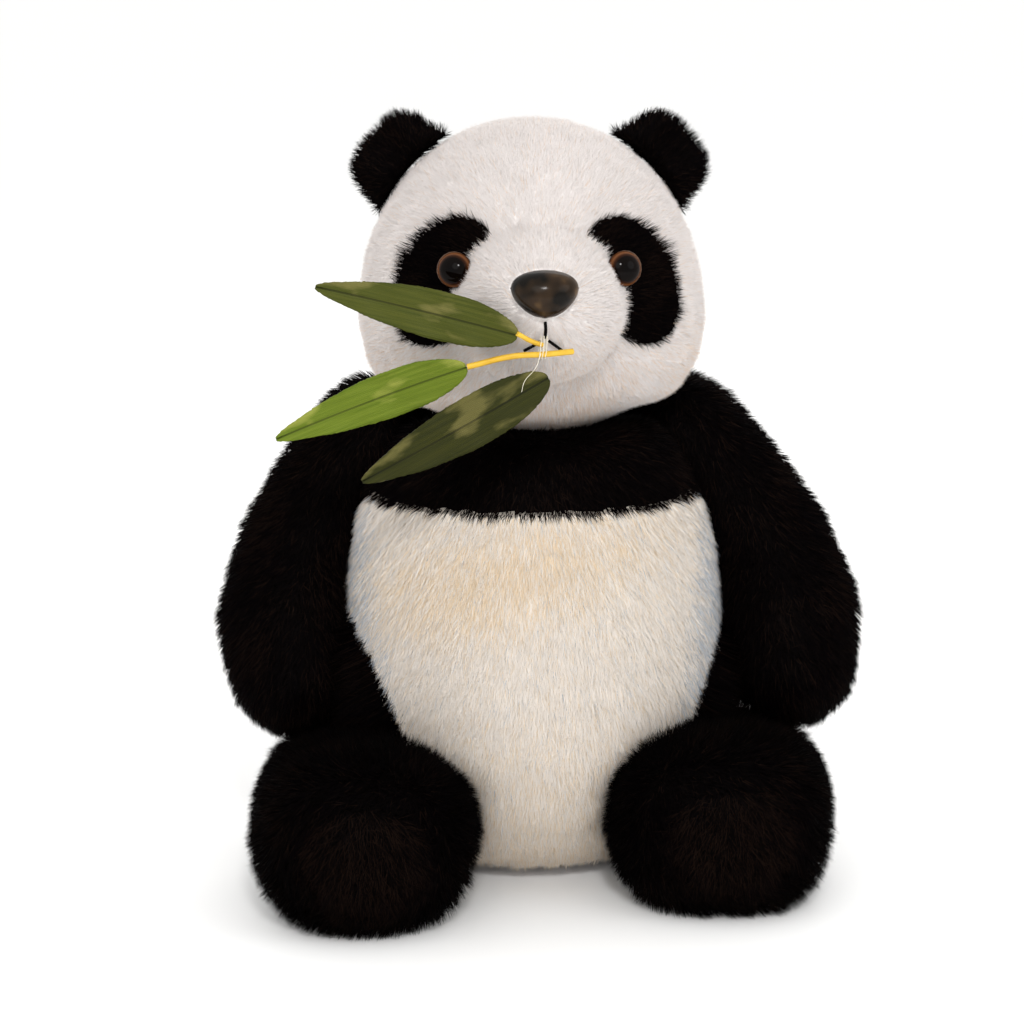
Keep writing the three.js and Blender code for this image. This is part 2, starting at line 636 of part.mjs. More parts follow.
function makeHead() {
  const head = new THREE.Group();
  head.position.copy(HEAD_CENTRE);
  const skull = headForm();
  const muzzle = muzzleForm();
  const muzzleInside = solidOf(grown(muzzle, -SKIN));
  const frames = [eyeFrame(1), eyeFrame(-1)];

  let skin = solidOf(skull).subtract(solidOf(grown(skull, -SKIN))).subtract(muzzleInside);
  const neckHole = turned([[0, -NECK_BALL - 5], [NECK_HOLE, -NECK_BALL - 5], [NECK_HOLE, -30], [0, -30]]);
  skin = skin.subtract(solidOf(neckHole));
  for (const frame of frames) {
    skin = skin.subtract(holeFor(frame, EYE_STEM_RADIUS + GAP, EYE_STEM_LENGTH));
  }
  addPiece(head, 'head_skin', skin, WHITE_PLUSH);

  let muzzleSkin = solidOf(muzzle)
    .subtract(muzzleInside)
    .subtract(solidOf(grown(skull, GAP)))
    .subtract(holeFor(noseFrame(), NOSE_STEM_RADIUS + GAP, NOSE_STEM_LENGTH));
  for (const frame of frames) {
    muzzleSkin = muzzleSkin.subtract(holeFor(frame, EYE_RADIUS + 2 * GAP, EYE_BACK));
  }
  addPiece(head, 'muzzle_skin', muzzleSkin, WHITE_PLUSH);

  let fill = solidOf(grown(skull, -FILL_DEPTH)).add(solidOf(grown(muzzle, -FILL_DEPTH)));
  for (const frame of frames) {
    fill = fill.subtract(holeFor(frame, WASHER_RADIUS + 2 * GAP, EYE_STEM_LENGTH));
  }
  fill = fill.subtract(holeFor(noseFrame(), NOSE_WASHER_RADIUS + 2 * GAP, NOSE_STEM_LENGTH + 1));
  addPiece(head, 'head_fill', fill, FIBRE_FILL);

  for (const [name, side] of Object.entries(SIDES)) {
    addPiece(head, `eye_patch_${name}`, eyePatch(side), BLACK_PLUSH);
    makeEye(head, name);
    head.add(makeEar(name));
  }
  makeNose(head);
  addPiece(head, 'mouth_stitch_centre', mouthStitch([[0, -1.7], [0.2, -4.4], [0, -7.6]]), BLACK_THREAD);
  addPiece(head, 'mouth_stitch_left', mouthStitch([[1.4, -8.6], [4, -10.6], [7.4, -13.4]]), BLACK_THREAD);
  addPiece(head, 'mouth_stitch_right', mouthStitch([[-1.4, -8.6], [-4, -10.4], [-7.2, -12.4]]), BLACK_THREAD);
  addPiece(head, 'sprig_tie', tieLoop(), TIE_THREAD);
  return head;
}

// ---- Bamboo sprig ----

const LEAVES = {
  leaf_upper: { base: [-6, -1.5, 7], tip: [-79, 9, 24], width: 18, sag: -4, look: DARK_LEAF },
  leaf_middle: { base: [-24.5, -3, -4], tip: [-94, 4, -31], width: 17, sag: -5, look: BRIGHT_LEAF },
  leaf_lower: { base: [5, -3, -8], tip: [-63, -1, -46], width: 19, sag: 3, look: DARK_LEAF },
};

// A long leaf: blunt at the base, widest past a third of its length, drawn out to a point.
function leafForm({ base, tip, width, sag }) {
  const start = new THREE.Vector3(...base);
  const span = new THREE.Vector3(...tip).sub(start);
  const along = span.clone().normalize();
  const across = new THREE.Vector3(0, -1, 0).cross(along).normalize();
  const face = along.clone().cross(across);
  return blob(({ x, y, z }) => {
    const share = (z + 1) / 2;
    const spread = Math.hypot(x, y);
    const outline = Math.sqrt(Math.max(0, 1 - z * z)) * (1.18 - 0.36 * share) * (1 - 0.35 * share ** 3);
    const edge = spread > 0 ? x / spread : 0;
    const lift = spread > 0 ? y / spread : 0;
    return start.clone()
      .addScaledVector(span, share)
      .addScaledVector(across, edge * outline * width * 0.5)
      .addScaledVector(face, lift * LEAF_THICKNESS * 0.5 * Math.min(1, outline * 3))
      .addScaledVector(face, sag * (1 - z * z));
  }, 14, 14);
}

// The loop of thread on the mouth that holds both stems.
function tieLoop() {
  const loop = new THREE.TorusGeometry(TIE_RADIUS, TIE_THICKNESS / 2, 6, 18);
  loop.rotateY(Math.PI / 2).scale(1, 0.95, 1);
  const middle = new THREE.Vector3(3, -0.4, 2.3).add(SPRIG_ORIGIN).sub(HEAD_CENTRE);
  return loop.translate(middle.x, middle.y, middle.z);
}

function makeSprig() {
  const sprig = new THREE.Group();
  sprig.position.copy(SPRIG_ORIGIN);
  const mainRoute = new THREE.CatmullRomCurve3([
    new THREE.Vector3(14, 2.5, 0.5),
    new THREE.Vector3(4, -1.6, 0.2),
    new THREE.Vector3(-8, -3, -0.2),
    new THREE.Vector3(-23.5, -3, -3.6),
  ]);
  const upperRoute = new THREE.CatmullRomCurve3([
    new THREE.Vector3(3, 1.6, 3),
    new THREE.Vector3(-1, 0.6, 4.6),
    new THREE.Vector3(-5.4, -1.2, 7.6),
  ]);
  addPiece(sprig, 'stem_main', bar(mainRoute, STEM_RADIUS, 12, 4), STEM_PLASTIC);
  addPiece(sprig, 'stem_upper', bar(upperRoute, STEM_RADIUS * 0.8, 6, 4), STEM_PLASTIC);
  for (const [name, leaf] of Object.entries(LEAVES)) {
    addPiece(sprig, name, leafForm(leaf), leaf.look);
  }
  return sprig;
}

const panda = new THREE.Group();
panda.add(makeTorso(), makeNeck(), makeHead(), makeSprig());
for (const name of Object.keys(SIDES)) {
  panda.add(makeArm(name), makeLeg(name));
}

export default panda;
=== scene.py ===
import json
import math

import bmesh
import bpy
import numpy as np
from mathutils import Matrix, Vector
from mathutils.bvhtree import BVHTree

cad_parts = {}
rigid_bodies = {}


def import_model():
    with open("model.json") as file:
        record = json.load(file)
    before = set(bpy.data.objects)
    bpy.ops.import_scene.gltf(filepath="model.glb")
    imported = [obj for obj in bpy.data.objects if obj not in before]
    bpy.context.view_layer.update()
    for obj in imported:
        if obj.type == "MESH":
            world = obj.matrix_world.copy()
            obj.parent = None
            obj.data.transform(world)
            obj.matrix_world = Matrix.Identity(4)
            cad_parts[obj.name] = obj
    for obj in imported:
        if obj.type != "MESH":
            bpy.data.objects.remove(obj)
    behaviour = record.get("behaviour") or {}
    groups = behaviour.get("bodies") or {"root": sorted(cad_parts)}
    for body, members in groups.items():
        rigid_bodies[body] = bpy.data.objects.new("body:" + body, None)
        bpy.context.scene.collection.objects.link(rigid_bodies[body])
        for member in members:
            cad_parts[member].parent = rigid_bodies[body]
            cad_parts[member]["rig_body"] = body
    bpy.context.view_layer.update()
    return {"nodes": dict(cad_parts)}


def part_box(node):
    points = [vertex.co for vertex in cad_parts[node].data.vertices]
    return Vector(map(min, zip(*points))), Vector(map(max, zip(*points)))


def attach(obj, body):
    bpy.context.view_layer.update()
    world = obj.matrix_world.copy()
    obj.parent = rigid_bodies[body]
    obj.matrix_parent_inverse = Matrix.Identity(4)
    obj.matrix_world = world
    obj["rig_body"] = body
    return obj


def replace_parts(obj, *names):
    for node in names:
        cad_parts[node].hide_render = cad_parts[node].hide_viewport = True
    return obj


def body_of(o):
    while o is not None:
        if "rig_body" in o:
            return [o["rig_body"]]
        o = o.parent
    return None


# A sitting plush panda that holds a sprig of bamboo in its mouth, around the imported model.
# Metres, +Z up, the face looks along -Y, and left is the panda's own left, +X.

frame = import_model()
nodes = frame["nodes"]
MM = 0.001
SIDES = {"left": 1, "right": -1}
HEAD_CENTRE = np.array([0, -6, 236]) * MM


# ---- Camera, floor and light ----

def look_at(obj, target):
    direction = Vector(target) - obj.location
    obj.rotation_euler = direction.to_track_quat("-Z", "Y").to_euler()


def add_camera():
    """Stands a little to the panda's right and above it, as the photographer did."""
    target = Vector((0, 0, 0.140))
    distance = 1.1
    azimuth = math.radians(-3.5)
    elevation = math.radians(12)
    camera = bpy.data.objects.new("camera", bpy.data.cameras.new("camera"))
    bpy.context.scene.collection.objects.link(camera)
    camera.location = target + distance * Vector((
        math.sin(azimuth) * math.cos(elevation),
        -math.cos(azimuth) * math.cos(elevation),
        math.sin(elevation),
    ))
    look_at(camera, target)
    camera.data.lens = 96.7
    camera.data.sensor_width = 36
    camera.data.shift_x = -0.0176
    camera.data.clip_end = 20
    bpy.context.scene.camera = camera


def add_light(name, location, target, size, power, colour):
    light = bpy.data.lights.new(name, "AREA")
    light.shape = "DISK"
    light.size = size
    light.energy = power
    light.color = colour
    obj = bpy.data.objects.new(name, light)
    bpy.context.scene.collection.objects.link(obj)
    obj.location = location
    look_at(obj, target)


def add_studio():
    scene = bpy.context.scene
    scene.view_settings.view_transform = "Standard"
    world = bpy.data.worlds.new("studio")
    scene.world = world
    world.use_nodes = True
    background = world.node_tree.nodes["Background"]
    background.inputs["Color"].default_value = (1.0, 0.995, 0.985, 1)
    background.inputs["Strength"].default_value = 1.03
    middle = (0, 0, 0.15)
    add_light("key", (-0.4, -1.45, 0.95), middle, 0.9, 3.2, (1, 0.985, 0.96))
    add_light("fill", (1.3, -0.9, 0.8), middle, 1.0, 3, (0.97, 0.99, 1))
    add_light("sparkle", (0.0, -1.4, 1.05), middle, 0.22, 9, (1, 0.99, 0.98))
    add_light("back", (0.3, 1.3, 1.2), middle, 1.2, 4, (1, 0.99, 0.97))
    paper = bpy.data.meshes.new("floor")
    reach = 30
    corners = [(-reach, -reach, 0), (reach, -reach, 0), (reach, reach, 0), (-reach, reach, 0)]
    paper.from_pydata(corners, [], [(0, 1, 2, 3)])
    paper.materials.append(plain_material("floor_paper", (0.98, 0.98, 0.98), 0.9))
    floor = new_object("floor", paper)


# ---- Materials ----

def linear(hex_colour):
    """A hex colour as linear red, green and blue."""
    channels = [int(hex_colour[i:i + 2], 16) / 255 for i in (1, 3, 5)]
    return tuple(c / 12.92 if c <= 0.04045 else ((c + 0.055) / 1.055) ** 2.4 for c in channels)


def plain_material(name, colour, roughness, **sockets):
    material = bpy.data.materials.new(name)
    material.use_nodes = True
    shader = material.node_tree.nodes["Principled BSDF"]
    shader.inputs["Base Color"].default_value = (*colour, 1)
    shader.inputs["Roughness"].default_value = roughness
    for socket, value in sockets.items():
        shader.inputs[socket.replace("_", " ")].default_value = value
    return material


class Graph:
    """A material under construction: adds nodes and joins them."""

    def __init__(self, name, colour, roughness, **sockets):
        self.material = plain_material(name, colour, roughness, **sockets)
        self.tree = self.material.node_tree
        self.shader = self.tree.nodes["Principled BSDF"]
        self.place = self.add("ShaderNodeTexCoord").outputs["Object"]

    def add(self, kind, **settings):
        node = self.tree.nodes.new(kind)
        for key, value in settings.items():
            if hasattr(node, key):
                setattr(node, key, value)
            else:
                node.inputs[key].default_value = value
        return node

    def join(self, start, end):
        self.tree.links.new(start, end)

    def noise(self, scale, detail=3, stretch=None):
        """Fine mottling, scale in cells a metre, drawn out along one axis by stretch."""
        node = self.add("ShaderNodeTexNoise", Scale=scale, Detail=detail)
        place = self.place
        if stretch:
            mapping = self.add("ShaderNodeMapping", Scale=stretch)
            self.join(place, mapping.inputs["Vector"])
            place = mapping.outputs["Vector"]
        self.join(place, node.inputs["Vector"])
        return node.outputs["Fac"]

    def bands(self, axis, scale, wander):
        """Stripes that lie across one axis, scale to the metre, a little uneven."""
        node = self.add("ShaderNodeTexWave", wave_type="BANDS", bands_direction=axis, Scale=scale)
        node.inputs["Distortion"].default_value = wander
        self.join(self.place, node.inputs["Vector"])
        return node.outputs["Fac"]

    def ramp(self, value, stops):
        node = self.add("ShaderNodeValToRGB")
        elements = node.color_ramp.elements
        while len(elements) < len(stops):
            elements.new(0.5)
        for element, (position, colour) in zip(elements, stops):
            element.position = position
            element.color = (*colour, 1)
        self.join(value, node.inputs["Fac"])
        return node.outputs["Color"]

    def bump(self, height, depth, strength=1.0):
        node = self.add("ShaderNodeBump", Strength=strength, Distance=depth)
        self.join(height, node.inputs["Height"])
        self.join(node.outputs["Normal"], self.shader.inputs["Normal"])


def backing_material(name, dark, light):
    """The cloth that a pile grows from: knitted loops, with painted shade in the hollows between
    the tufts.
    """
    graph = Graph(name, dark, 0.95, Specular_IOR_Level=0.02)
    tufts = graph.noise(900, 2)
    # Painted shade: the noise that raises the tufts also darkens the cloth where it lies low.
    graph.join(graph.ramp(tufts, [(0.35, dark), (0.7, light)]), graph.shader.inputs["Base Color"])
    graph.bump(tufts, 0.0006, 0.6)
    return graph.material


def mottled_material(name, dark, light, scale, roughness, depth=0.0002, stretch=None, **sockets):
    graph = Graph(name, dark, roughness, **sockets)
    grain = graph.noise(scale, 4, stretch)
    graph.join(graph.ramp(grain, [(0.3, dark), (0.7, light)]), graph.shader.inputs["Base Color"])
    graph.bump(grain, depth, 0.5)
    return graph.material


# Four fibre shades to each pile, mixed strand by strand. Where the biases below raise their share,
# the last white is warm painted shade, the last cream is blue-grey painted shade and the two
# brownest blacks are painted sheen.
PILE_SHADES = {
    "white": ["#e9e2df", "#ece5e2", "#e5ddd9", "#e7d0bc"],
    "cream": ["#f2e8dd", "#f4ece3", "#edd6b7", "#b4bfcc"],
    "black": ["#040203", "#070404", "#0c0706", "#1a110d"],
}


def pile_materials(name):
    """One plain fibre material for each shade of a pile. The shades mix strand by strand."""
    gloss = 0.015
    rough = 0.5 if name == "black" else 0.85
    return [
        plain_material(f"{name}_fibre_{i}", linear(shade), rough, Specular_IOR_Level=gloss)
        for i, shade in enumerate(PILE_SHADES[name])
    ]


# ---- Mesh helpers ----

def new_object(name, mesh):
    obj = bpy.data.objects.new(name, mesh)
    bpy.context.scene.collection.objects.link(obj)
    return obj


def mesh_arrays(mesh):
    points = np.empty(len(mesh.vertices) * 3)
    mesh.vertices.foreach_get("co", points)
    return points.reshape(-1, 3)


def evaluated(obj):
    """A new mesh with the object's modifiers applied."""
    graph = bpy.context.evaluated_depsgraph_get()
    return bpy.data.meshes.new_from_object(obj.evaluated_get(graph))


def apply_modifiers(obj):
    mesh = evaluated(obj)
    obj.modifiers.clear()
    old = obj.data
    obj.data = mesh
    bpy.data.meshes.remove(old)


def joined_copy(name, sources):
    """One mesh made of copies of several CAD nodes."""
    bm = bmesh.new()
    for source in sources:
        bm.from_mesh(nodes[source].data)
    mesh = bpy.data.meshes.new(name)
    bm.to_mesh(mesh)
    bm.free()
    mesh.materials.clear()
    return new_object(name, mesh)


def keep_largest_part(mesh):
    """Drops the closed bubbles that remeshing leaves inside a body."""
    bm = bmesh.new()
    bm.from_mesh(mesh)
    left = set(bm.verts)
    parts = []
    while left:
        stack = [left.pop()]
        part = []
        while stack:
            vertex = stack.pop()
            part.append(vertex)
            for edge in vertex.link_edges:
                other = edge.other_vert(vertex)
                if other in left:
                    left.remove(other)
                    stack.append(other)
        parts.append(part)
    parts.sort(key=len)
    bmesh.ops.delete(bm, geom=[v for part in parts[:-1] for v in part], context="VERTS")
    bm.to_mesh(mesh)
    bm.free()


def tree_of(source):
    mesh = nodes[source].data
    points = [v.co.copy() for v in mesh.vertices]
    return BVHTree.FromPolygons(points, [tuple(p.vertices) for p in mesh.polygons])


def nearest_panels(points, panels):
    """For each point, the index of the nearest CAD panel."""
    if len(panels) == 1:
        return np.zeros(len(points), int)
    best = np.full(len(points), np.inf)
    labels = np.zeros(len(points), int)
    for k, panel in enumerate(panels):
        tree = tree_of(panel)
        low, high = (np.array(v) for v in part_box(panel))
        close = ((points > low - 0.01) & (points < high + 0.01)).all(1)
        for i in np.flatnonzero(close):
            away = tree.find_nearest(Vector(points[i]))[3]
            if away < best[i]:
                best[i] = away
                labels[i] = k
    return labels


# ---- Stuffed bodies ----

SIM_INSET = 0.5 * MM  # the cloth starts this much smaller than the stuffed body
SIM_FRAMES = 15
STUFFING_INSET = 1.2 * MM  # the fill stays this far behind its CAD solid's surface
FLOOR_ROOM = 0.2 * MM  # nothing lies closer to the floor than this


def puffed(obj, seam_points, cap):
    """Blows the cloth up from inside, held along its seams, and limits how far a point moves."""
    start = mesh_arrays(obj.data)
    group = obj.vertex_groups.new(name="seams")
    group.add([int(i) for i in np.flatnonzero(seam_points)], 1.0, "REPLACE")
    cloth = obj.modifiers.new("stuffing", "CLOTH")
    settings = cloth.settings
    settings.vertex_group_mass = "seams"
    settings.use_pressure = True
    settings.uniform_pressure_force = 14
    settings.effector_weights.gravity = 0
    settings.quality = 4
    settings.tension_stiffness = 12
    settings.compression_stiffness = 12
    settings.bending_stiffness = 0.4
    scene = bpy.context.scene
    for number in range(1, SIM_FRAMES + 1):
        scene.frame_set(number)
    swollen = mesh_arrays(evaluated(obj))
    scene.frame_set(1)
    obj.modifiers.clear()
    obj.vertex_groups.clear()
    shift = swollen - start
    distance = np.linalg.norm(shift, axis=1, keepdims=True)
    shift *= np.minimum(1, cap / np.maximum(distance, 1e-9))
    obj.data.vertices.foreach_set("co", (start + shift).ravel())
    obj.data.update()


def smoothed(obj, rounds, factor=0.5):
    modifier = obj.modifiers.new("even", "SMOOTH")
    modifier.iterations = rounds
    modifier.factor = factor
    apply_modifiers(obj)


def vertex_normals(mesh):
    normals = np.empty(len(mesh.vertices) * 3)
    mesh.vertices.foreach_get("normal", normals)
    return normals.reshape(-1, 3)


def stuffed_body(name, panels, fills, voxel, puff, rounds):
    """A closed body made from CAD skins and their fill, puffed between its seams.
    Returns the body and the panel that each of its vertices belongs to."""
    skins = [node for node in panels if not node.startswith("eye_patch")]
    body = joined_copy(name, skins + fills)
    remesh = body.modifiers.new("even", "REMESH")
    remesh.mode = "VOXEL"
    remesh.voxel_size = voxel
    apply_modifiers(body)
    keep_largest_part(body.data)
    smoothed(body, rounds)
    points = mesh_arrays(body.data)
    labels = panel_of(points, panels)
    inset = points - SIM_INSET * vertex_normals(body.data)
    body.data.vertices.foreach_set("co", inset.ravel())
    body.data.update()
    ends = np.empty(len(body.data.edges) * 2, int)
    body.data.edges.foreach_get("vertices", ends)
    ends = ends.reshape(-1, 2)
    crossing = ends[labels[ends[:, 0]] != labels[ends[:, 1]]]
    on_seam = np.zeros(len(points), bool)
    on_seam[crossing.ravel()] = True
    puffed(body, on_seam, SIM_INSET + puff)
    smoothed(body, 2, 0.3)
    subdivide = body.modifiers.new("fine", "SUBSURF")
    subdivide.levels = 1
    apply_modifiers(body)
    points = mesh_arrays(body.data)
    points[:, 2] = np.maximum(points[:, 2], FLOOR_ROOM)
    body.data.vertices.foreach_set("co", points.ravel())
    body.data.update()
    return body, panel_of(points, panels)


def panel_piece(body, labels, index, name, material):
    """Cuts one panel out of a stuffed body. A face on a seam goes to both of its panels."""
    bm = bmesh.new()
    bm.from_mesh(body.data)
    bm.verts.ensure_lookup_table()
    drop = [f for f in bm.faces if not any(labels[v.index] == index for v in f.verts)]
    bmesh.ops.delete(bm, geom=drop, context="FACES")
    mesh = bpy.data.meshes.new(name)
    bm.to_mesh(mesh)
    bm.free()
    mesh.materials.clear()
    mesh.materials.append(material)
    mesh.shade_smooth()
    return new_object(name, mesh)


# ---- Pile ----

rng = np.random.default_rng(7)
ROOT_DEPTH = 0.5 * MM  # a strand starts this far inside its cloth
PATCH_SHIFT = 2.6 * MM  # how far the tips of the patches' pile lie beyond their roots
STRANDS_TO_A_PIECE = 45000  # a denser pile is split into several pieces
STRAND_FACES = np.array([[0, 2, 1], [0, 1, 3], [1, 2, 3], [2, 0, 3]])
CELL_KEY = np.array([1, 100003, 10007 * 100003])  # turns a cell's three counts into one number


def waves(points, size, seed, count=7):
    """Smooth random values from about -1 to 1 whose features are size across."""
    source = np.random.default_rng(seed)
    total = np.zeros(len(points))
    for _ in range(count):
        direction = source.normal(size=3)
        direction *= source.uniform(0.6, 1.5) / np.linalg.norm(direction)
        total += np.sin(points @ direction * (2 * math.pi / size) + source.uniform(0, 2 * math.pi))
    return total / math.sqrt(count / 2) / 1.6


def unit(vectors):
    return vectors / np.maximum(np.linalg.norm(vectors, axis=1, keepdims=True), 1e-12)


def scattered(obj, density):
    """Random points on an object's faces, density to the square metre, and their smooth normals."""
    mesh = obj.data
    mesh.calc_loop_triangles()
    corners = np.empty(len(mesh.loop_triangles) * 3, int)
    mesh.loop_triangles.foreach_get("vertices", corners)
    corners = corners.reshape(-1, 3)
    points = mesh_arrays(mesh)
    normals = vertex_normals(mesh)
    a, b, c = (points[corners[:, k]] for k in range(3))
    areas = np.linalg.norm(np.cross(b - a, c - a), axis=1) / 2
    count = int(areas.sum() * density)
    chosen = rng.choice(len(areas), count, p=areas / areas.sum())
    u, v = rng.random((2, count, 1))
    over = (u + v) > 1
    u, v = np.where(over, 1 - u, u), np.where(over, 1 - v, v)
    mix = [1 - u - v, u, v]
    place = sum(w * points[corners[chosen, k]] for k, w in enumerate(mix))
    normal = unit(sum(w * normals[corners[chosen, k]] for k, w in enumerate(mix)))
    return place, normal


def tangent(directions, normals):
    """Directions laid flat onto the surface."""
    flat = directions - (directions * normals).sum(1, keepdims=True) * normals
    return unit(flat)


def locks(roots, tips, size, pull, seed):
    """Draws the tips of neighbouring strands together."""
    drift = np.stack([waves(roots, size * 2.5, seed + k) for k in range(3)], axis=1)
    cells = np.floor(roots / size + 0.6 * drift).astype(np.int64)
    _, group = np.unique(cells @ CELL_KEY, return_inverse=True)
    counts = np.bincount(group)[:, None]
    middle = np.stack([np.bincount(group, tips[:, k]) for k in range(3)], axis=1) / counts
    return tips + pull * (middle[group] - tips)


def pile(name, body, roots, normals, comb, shades, look):
    """A pile of thin closed strands, each a long cone with three sides.
    look: length, width, lean (degrees from the normal), ruffle, lock (size of a tuft), pull."""
    count = len(roots)
    length = look["length"] * rng.uniform(0.75, 1.15, count)[:, None]
    length *= 1 + look["uneven"] * waves(roots, 0.012, 11)[:, None]
    flow = tangent(comb, normals)
    flow = tangent(flow + look["ruffle"] * rng.normal(size=(count, 3)), normals)
    lean = np.radians(look["lean"] + rng.uniform(-9, 9, (count, 1)))
    tips = roots + (normals * np.cos(lean) + flow * np.sin(lean)) * length
    tips = locks(roots, tips, look["lock"], look["pull"], 21)
    bottoms = roots - normals * ROOT_DEPTH
    along = unit(tips - bottoms)
    side = unit(np.cross(along, rng.normal(size=(count, 3))))
    third = np.cross(along, side)
    width = look["width"] * rng.uniform(0.75, 1.2, count)[:, None] / 2
    turns = [2 * math.pi * k / 3 for k in range(3)]
    ring = [bottoms + width * (math.cos(a) * side + math.sin(a) * third) for a in turns]
    points = np.stack([*ring, tips], axis=1).reshape(-1, 3)
    points[:, 2] = np.maximum(points[:, 2], FLOOR_ROOM)
    faces = (STRAND_FACES[None] + 4 * np.arange(count)[:, None, None]).reshape(-1, 3)
    mesh = bpy.data.meshes.new(name)
    mesh.vertices.add(len(points))
    mesh.vertices.foreach_set("co", points.astype(np.float32).ravel())
    mesh.loops.add(faces.size)
    mesh.loops.foreach_set("vertex_index", faces.astype(np.int32).ravel())
    mesh.polygons.add(len(faces))
    mesh.polygons.foreach_set("loop_start", np.arange(0, faces.size, 3, dtype=np.int32))
    mesh.polygons.foreach_set("material_index", np.repeat(shades, 4).astype(np.int32))
    mesh.polygons.foreach_set("use_smooth", np.ones(len(faces), bool))
    mesh.update()
    soft = unit(np.repeat(normals, 4, axis=0) + look["rough"] * rng.normal(size=(len(points), 3)))
    mesh.normals_split_custom_set_from_vertices(soft.astype(np.float32))
    for material in FIBRES[look["colour"]]:
        mesh.materials.append(material)
    piece = new_object(name, mesh)
    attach(piece, body)
    return piece


def shades_of(count, spread, bias):
    """Picks a fibre shade for each strand. spread is the share of each shade, more by bias."""
    share = np.array(spread)[None] + bias
    share /= share.sum(1, keepdims=True)
    edges = np.cumsum(share, axis=1)
    return (rng.random((count, 1)) > edges[:, :-1]).sum(1)


def cream_bias(points):
    """A peach cast high on the tummy and low down, and blue-grey painted shade down both its edges.
    """
    across = np.abs(points[:, 0]) / 0.066
    height = points[:, 2] / 0.15
    # Painted shade: blue-grey fibres down the tummy's edges, where it turns under the arms.
    edge_shade = np.clip((across - 0.66 - 0.25 * height) * 5, 0, 2.5)
    slant = points[:, 2] - 0.134 - 0.25 * points[:, 0]
    high = np.exp(-((points[:, 0] + 0.012) / 0.04) ** 2 - (slant / 0.015) ** 2)
    low = np.clip(0.55 - height, 0, 1)
    none = np.zeros(len(points))
    return np.stack([none, none, 1.8 * high + low, edge_shade], axis=1)


def white_shade_bias(points):
    """Warm peach painted shade on the lower head, at the cheeks and chin, and the back of the body
    stays white.
    """
    # Painted shade: peach fibres take over low on the head.
    low = np.clip((0.226 - points[:, 2]) / 0.045, 0, 1) * (points[:, 2] > 0.165)
    patchy = np.clip(0.6 + 0.5 * waves(points, 0.05, 31), 0, 1)
    none = np.zeros(len(points))
    return np.stack([none, none, none, 0.9 * low * patchy], axis=1)


def black_sheen_bias(points):
    """Soft brown patches of painted sheen on the black pile."""
    brown = np.clip(waves(points, 0.03, 41), 0, 1)
    none = np.zeros(len(points))
    return np.stack([none, none, 0.5 * brown, 0.35 * brown], axis=1)


BIASES = {"white": white_shade_bias, "cream": cream_bias, "black": black_sheen_bias}


def away_from(centre):
    """Along the surface away from a point."""
    centre = np.array(centre)
    def comb(points):
        return points - centre
    return comb


def downwards(outward):
    """Down the body, and away from its middle by outward."""
    def comb(points):
        flow = np.zeros_like(points)
        flow[:, 0] = outward * points[:, 0] / 0.07
        flow[:, 2] = -1
        return flow
    return comb


def over_the_head(points):
    """Away from the nose over the face and the crown, turning downwards behind the ears."""
    flow = unit(points - NOSE_BRIDGE - np.array([0, 0, 0.01]))
    behind = np.clip((points[:, 1] - HEAD_CENTRE[1]) / 0.05, 0, 1)
    flow[:, 2] -= 2.2 * behind
    return flow


def middle_of(node):
    low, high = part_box(node)
    return np.array((low + high) / 2)


def far_from_face(points, normals):
    """True for strands that aren't under the nose, an eye or a mouth stitch."""
    keep = np.ones(len(points), bool)
    reach = 12 * MM
    for node, room in CLEARINGS.items():
        tree = tree_of(node)
        low, high = (np.array(v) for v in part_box(node))
        close = ((points > low - reach) & (points < high + reach)).all(1)
        for i in np.flatnonzero(close):
            if not keep[i]:
                continue
            start = Vector(points[i] - normals[i] * MM)
            hit = tree.ray_cast(start, Vector(normals[i]), reach)[0]
            near = tree.find_nearest(Vector(points[i]))[3]
            if hit is not None or near < room:
                keep[i] = False
    return keep


# How far the pile keeps from each hard piece of the face, in metres.
CLEARINGS = {
    "nose": 0.0006,
    "eye_dome_left": 0.0008,
    "eye_dome_right": 0.0008,
    "mouth_stitch_centre": 0.0016,
    "mouth_stitch_left": 0.0016,
    "mouth_stitch_right": 0.0016,
}

NOSE_BRIDGE = HEAD_CENTRE + np.array([0, -85, -2]) * MM
WHITE_MIX = [0.42, 0.33, 0.21, 0.04]
CREAM_MIX = [0.5, 0.4, 0.08, 0.02]
BLACK_MIX = [0.5, 0.3, 0.15, 0.05]

# What each plush panel is covered with. Densities are strands to the square metre.
SHORT_WHITE = {"colour": "white", "mix": WHITE_MIX, "density": 4.2e6, "length": 0.005,
               "width": 0.00032, "lean": 68, "ruffle": 0.3, "lock": 0.0035, "pull": 0.2,
               "uneven": 0.12, "rough": 0.08}
MUZZLE_WHITE = dict(SHORT_WHITE, density=4.6e6, length=0.0045, lean=62)
CREAM = dict(SHORT_WHITE, colour="cream", mix=CREAM_MIX, density=3.8e6, length=0.0072,
             width=0.00034, lean=70, lock=0.006, pull=0.3)
BACK_WHITE = dict(SHORT_WHITE, density=1.9e6, length=0.0065, width=0.00045, lock=0.005, pull=0.3)
SEAT_WHITE = dict(BACK_WHITE, density=0.9e6, length=0.003)
BLACK = {"colour": "black", "mix": BLACK_MIX, "density": 1.5e6, "length": 0.0066, "width": 0.00046,
         "lean": 60, "ruffle": 0.4, "lock": 0.005, "pull": 0.35, "uneven": 0.12, "rough": 0.15}
ARM = dict(BLACK, length=0.0078, lean=54)
FLANK = dict(BLACK, length=0.0165, lean=30)
LEG = dict(BLACK, length=0.0088, lean=44)
SHAGGY = dict(BLACK, density=3.8e6, length=0.0058, width=0.00036, lean=40, ruffle=0.65, lock=0.0024,
              pull=0.55, uneven=0.3)
# The feet take more of the brown shades, as painted sheen on their pile.
FOOT = dict(BLACK, density=2.0e6, length=0.0085, lean=56, ruffle=0.6, mix=[0.2, 0.2, 0.3, 0.3],
            uneven=0.25)
EAR = dict(BLACK, density=2.6e6, length=0.005, width=0.00038)


